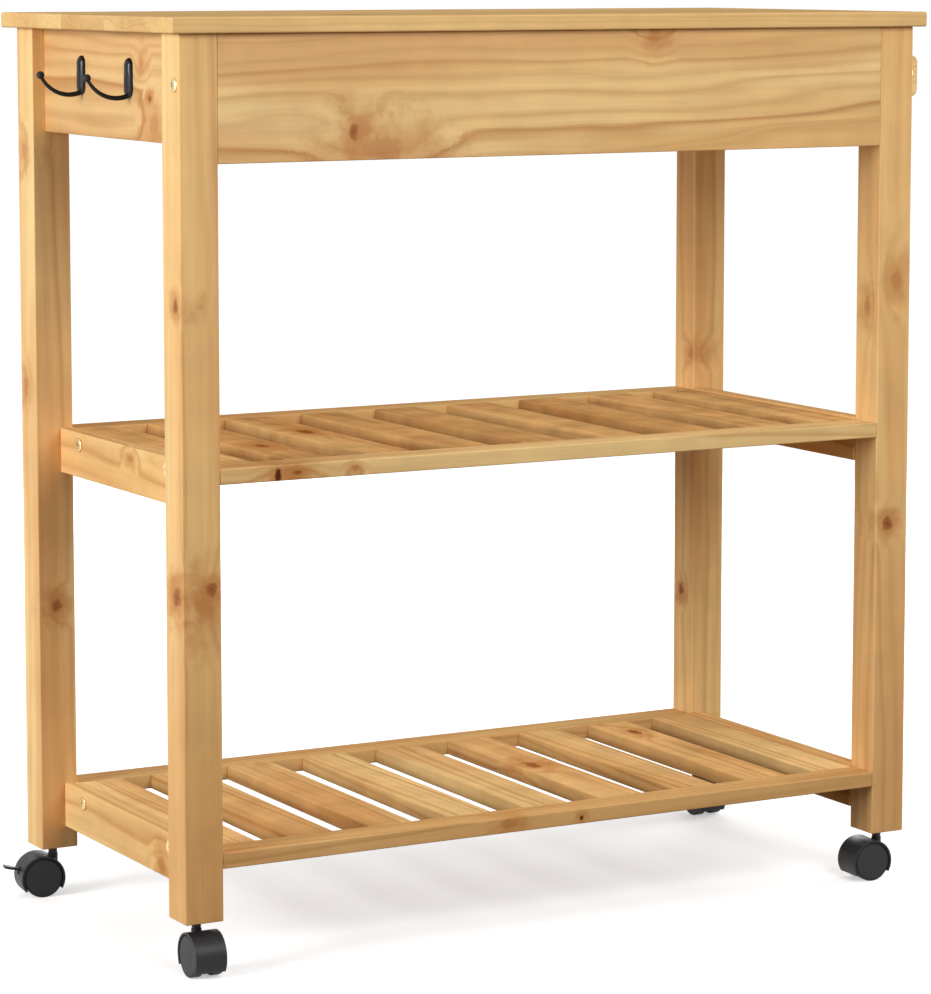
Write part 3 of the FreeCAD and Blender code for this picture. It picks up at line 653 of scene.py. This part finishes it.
def moulded(name, grey, roughness, wheel=None):
    """Dark moulded plastic: a grey of 255, and how rough its surface is where it isn't worn.

    A wheel gives its middle and radius, and is blacker from near its rim outwards.
    """
    plastic = Finish(name)
    place = plastic.place()
    wear = plastic.fade(plastic.noise(place, 60.0, 3.0), 0.4, 0.75)
    fresh, worn = tint(grey, grey, grey + 1), tint(grey + WORN, grey + WORN, grey + WORN)
    colour = plastic.mix(0.5 * wear, fresh, worn)
    if wheel:
        hub, radius = wheel
        away = plastic.length(plastic.vector("SUBTRACT", place, hub))
        tyre = plastic.fade(away, TYRE_START * radius, TYRE_END * radius, 0.0, 0.85)
        colour = plastic.mix(tyre, colour, TYRE)
    texture = plastic.noise(place, 2600.0, 2.0)
    relief = plastic.node("ShaderNodeBump", {}, {"Height": texture, "Strength": 0.3,
                                                 "Distance": 0.00012})
    return plastic.surface({"Specular IOR Level": 0.3},
                           {"Base Color": colour, "Roughness": roughness + 0.14 * wear,
                            "Normal": relief})


castor_plastic = moulded("castor_plastic", 25, 0.42)
for name, node in nodes.items():
    if name.startswith("castor_") and name.endswith(("_body", "_brake_lever")):
        node.material_slots[0].material = castor_plastic
    elif name.startswith("castor_") and "_wheel_" in name:
        low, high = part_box(name)
        wheel = ((low + high) / 2, (high.z - low.z) / 2)
        node.material_slots[0].material = moulded("plastic_" + name, 40, 0.5, wheel)
print("castors are black plastic")

# %% [markdown]
# The hooks are cast iron under black enamel, which gathers a little at the edges, so the surface
# waves gently and reflects the room in soft shapes. Hands polish the top of each plate, which
# catches the light, and the rest stays dull. The bolts are steel plated with yellow zinc: a pale
# brass colour with faint turning marks and cloudy patches of tarnish. The pins of the wheels are
# the same metal without the plating.


# %% Iron, plated bolts, steel pins
POLISH_START, POLISH_END = 0.022, 0.010  # metres below the top of a hook


def enamelled(name, top):
    """Black enamel on iron, glossy near the top of the hook and duller below."""
    enamel = Finish(name)
    place = enamel.place()
    polish = enamel.fade(enamel.part(place, Z), top - POLISH_START, top - POLISH_END)
    waves = enamel.noise(place, 110.0, 1.0)
    dust = enamel.fade(enamel.noise(place, 400.0, 2.0), 0.55, 0.8)
    colour = enamel.mix(0.4 * dust, tint(12, 13, 14), tint(28, 28, 28))
    relief = enamel.node("ShaderNodeBump", {}, {"Height": waves, "Strength": 0.15,
                                                "Distance": 0.002})
    return enamel.surface({"Specular IOR Level": 0.25},
                          {"Base Color": colour, "Normal": relief,
                           "Roughness": 0.48 + 0.12 * dust - 0.3 * polish})


def plated(name, bright, dull, roughness):
    """A plated or plain metal, with cloudy tarnish and fine turning marks."""
    metal = Finish(name)
    place = metal.place()
    clouds = metal.fade(metal.noise(place, 180.0, 3.0), 0.35, 0.7)
    marks = metal.noise(metal.vector("MULTIPLY", place, (0.2, 1.0, 1.0)), 3200.0, 1.0)
    colour = metal.mix(clouds, bright, dull)
    relief = metal.node("ShaderNodeBump", {}, {"Height": marks, "Strength": 0.25,
                                               "Distance": 0.0001})
    return metal.surface({"Metallic": 1.0}, {"Base Color": colour, "Normal": relief,
                                             "Roughness": roughness + 0.16 * clouds})


black_iron = enamelled("black_iron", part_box("cloth_hook_back")[1].z)
for side in ("back", "front"):
    nodes[f"cloth_hook_{side}"].material_slots[0].material = black_iron
zinc = plated("bolt_plating", tint(240, 222, 172), tint(206, 178, 118), 0.24)
nodes["bolts"].material_slots[0].material = zinc
steel = plated("steel_pin", tint(198, 198, 200), tint(150, 150, 152), 0.3)
for name, node in nodes.items():
    if name.endswith("_axle"):
        node.material_slots[0].material = steel
nodes["castor_stems"].material_slots[0].material = moulded("stem_black", 38, 0.3)
print("hooks, bolts and pins are done")

# %% [markdown]
# ## Floor and surroundings
#
# The cart stands on a plain white floor in a white room with no corners. The camera, and any
# glossy surface, should see clean white there, but the light that the room throws on the cart has
# to stay soft and moderate, or the pale wood would wash out. Light Path tells the two apart: for
# rays from the camera and for reflections the room is white, and for light that spreads it is
# dimmer.

# %% Room
WHITE = (1.0, 1.0, 1.0, 1.0)
ROOM_LIGHT = 0.26


def seen_directly(finish):
    """1 for rays from the camera and for reflected and refracted rays, 0 for spread light."""
    seen = [finish.node("ShaderNodeLightPath", {}, {}, ray)
            for ray in ("Is Camera Ray", "Is Glossy Ray", "Is Transmission Ray")]
    return seen[0].math("MAXIMUM", seen[1]).math("MAXIMUM", seen[2])


class Room(Finish):
    """The world, which is a material round everything."""

    def __init__(self, name):
        self.world = bpy.data.worlds.new(name)
        self.world.use_nodes = True
        self.tree = self.world.node_tree
        self.tree.nodes.clear()


room = Room("room")
dim, full = [room.node("ShaderNodeBackground", {}, {"Color": WHITE, "Strength": strength})
             for strength in (ROOM_LIGHT, 1.0)]
view = room.node("ShaderNodeMixShader", {}, {0: seen_directly(room), 1: dim, 2: full})
room.node("ShaderNodeOutputWorld", {}, {"Surface": view})
bpy.context.scene.world = room.world
print("the room lights the cart at", ROOM_LIGHT)

# %% [markdown]
# The floor is one large square, white for the camera and nearly dark for the light that it would
# throw up under the shelves. It adds a glow to its own lit colour. The glow is weaker under and
# near the cart, so that the soft shadow shows there, and stronger further out, where the lamps no
# longer reach, so that the floor runs into the white of the room without a horizon.

# %% Floor
FLOOR_SIZE = 40.0  # metres
FLOOR_WHITE = (0.9, 0.9, 0.9, 1.0)  # as the camera and reflections see it
FLOOR_SPREAD = (0.12, 0.1, 0.08, 1.0)  # for the light that it throws up on the cart
FLOOR_GLOW_NEAR = (0.46, 0.46, 0.46, 1.0)
FLOOR_GLOW_FAR = (0.8, 0.8, 0.8, 1.0)
GLOW_NEAR, GLOW_FAR = 0.5, 3.5  # metres between which the glow grows

floor_finish = Finish("floor")
plain = floor_finish.node("ShaderNodeBsdfDiffuse", {}, {"Color": FLOOR_SPREAD})
pale = floor_finish.node("ShaderNodeBsdfDiffuse", {}, {"Color": FLOOR_WHITE})
away = floor_finish.fade(floor_finish.length(floor_finish.place()), GLOW_NEAR, GLOW_FAR)
glow_colour = floor_finish.mix(away, FLOOR_GLOW_NEAR, FLOOR_GLOW_FAR)
glow = floor_finish.node("ShaderNodeEmission", {}, {"Color": glow_colour, "Strength": 1.0})
lit = floor_finish.node("ShaderNodeAddShader", {}, {0: pale, 1: glow})
floor_view = floor_finish.node("ShaderNodeMixShader", {},
                               {0: seen_directly(floor_finish), 1: plain, 2: lit})
floor_finish.node("ShaderNodeOutputMaterial", {}, {"Surface": floor_view})

half = FLOOR_SIZE / 2
corners = [(x * half, y * half, cad_low.z) for x, y in ((-1, -1), (1, -1), (1, 1), (-1, 1))]
floor_mesh = bpy.data.meshes.new("floor")
floor_mesh.from_pydata(corners, [], [(0, 1, 2, 3)])
floor_mesh.materials.append(floor_finish.material)
floor = bpy.data.objects.new("floor", floor_mesh)
bpy.context.scene.collection.objects.link(floor)
print("floor at", round(cad_low.z, 4))

# %% [markdown]
# ## Lamps
#
# Soft light comes from large lamps. The key lamp stands off the hook end and a little above the
# cart's middle, so that end faces are the brightest. The front lamp is weaker and stands before
# the closed back, so the long faces are a step darker, and it is near enough that they darken
# gently towards the floor. A faint lamp overhead lifts the worktop and the shelves. The last two
# stand low behind the cart and off the rail end, so that the drawers and the towel bar aren't left
# in the dark when the camera goes round. A lamp's power is worked out from the level that it
# should give at its distance, because a lamp twice as far away needs four times the power.


# %% Lamps
def lamp(name, azimuth, elevation, distance, size, level):
    """A square lamp aimed at the cart that lights a facing surface at that level."""
    light = bpy.data.lights.new(name, "AREA")
    light.size = size
    light.energy = level * math.pi ** 2 * distance ** 2
    holder = bpy.data.objects.new(name, light)
    towards = direction(azimuth, elevation)
    holder.location = middle + towards * distance
    holder.rotation_mode = "QUATERNION"
    holder.rotation_quaternion = (-towards).to_track_quat("-Z", "Y")
    bpy.context.scene.collection.objects.link(holder)
    print(name, "gives", level, "from", distance, "m")


lamp("key_lamp", azimuth=-84.0, elevation=14.0, distance=3.2, size=1.3, level=0.76)
lamp("front_lamp", azimuth=4.0, elevation=28.0, distance=2.4, size=1.2, level=0.54)
lamp("overhead_lamp", azimuth=0.0, elevation=80.0, distance=2.5, size=1.4, level=0.10)
lamp("back_lamp", azimuth=150.0, elevation=12.0, distance=3.0, size=1.4, level=0.36)
lamp("side_lamp", azimuth=95.0, elevation=12.0, distance=3.0, size=1.4, level=0.40)

# %% [markdown]
# ## Closing
#
# The view settings stay plain, so a colour shows as it is written. Nothing here changes a size.

# %% Finish
bpy.context.scene.view_settings.view_transform = "Standard"
